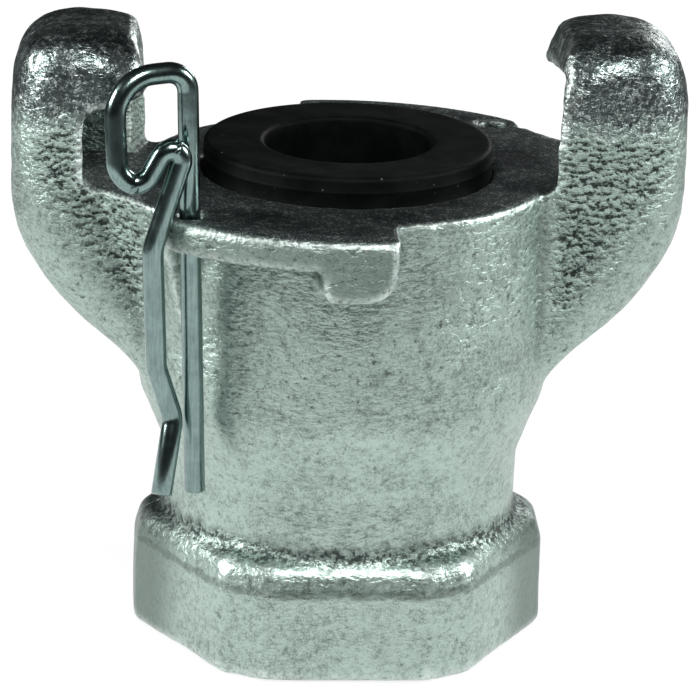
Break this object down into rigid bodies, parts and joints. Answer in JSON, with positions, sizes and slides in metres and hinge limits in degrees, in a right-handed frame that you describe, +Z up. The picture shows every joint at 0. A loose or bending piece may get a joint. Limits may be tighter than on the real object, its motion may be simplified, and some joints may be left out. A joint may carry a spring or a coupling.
{
  "type": "claw hose coupling",
  "caption": "Two-claw quick hose coupling half with hexagon end, internal pipe thread, rubber face gasket and wire safety clip.",
  "frame": {"origin": "centre of the bore at the bottom of the hexagon end", "axes": "+Z up the bore from the pipe thread to the claws, +X through the two claws, -Y towards the side whose ledge carries the safety clip"},
  "size_m": [0.0716, 0.0564, 0.0673],
  "materials": {
    "casting": "zinc plated, rough as cast, face machined",
    "gasket": "matte black",
    "wire": "bright plated spring wire"
  },
  "bodies": {
    "coupling": {"coupling_body": "casting", "gasket": "gasket"},
    "clip": {"safety_clip": "wire"}
  },
  "joints": [
    {"name": "clip_slide", "type": "slide", "parent": "coupling", "child": "clip", "axis": [-0.033, -0.0114, 0.9994], "range_m": [0, 0.008]}
  ]
}
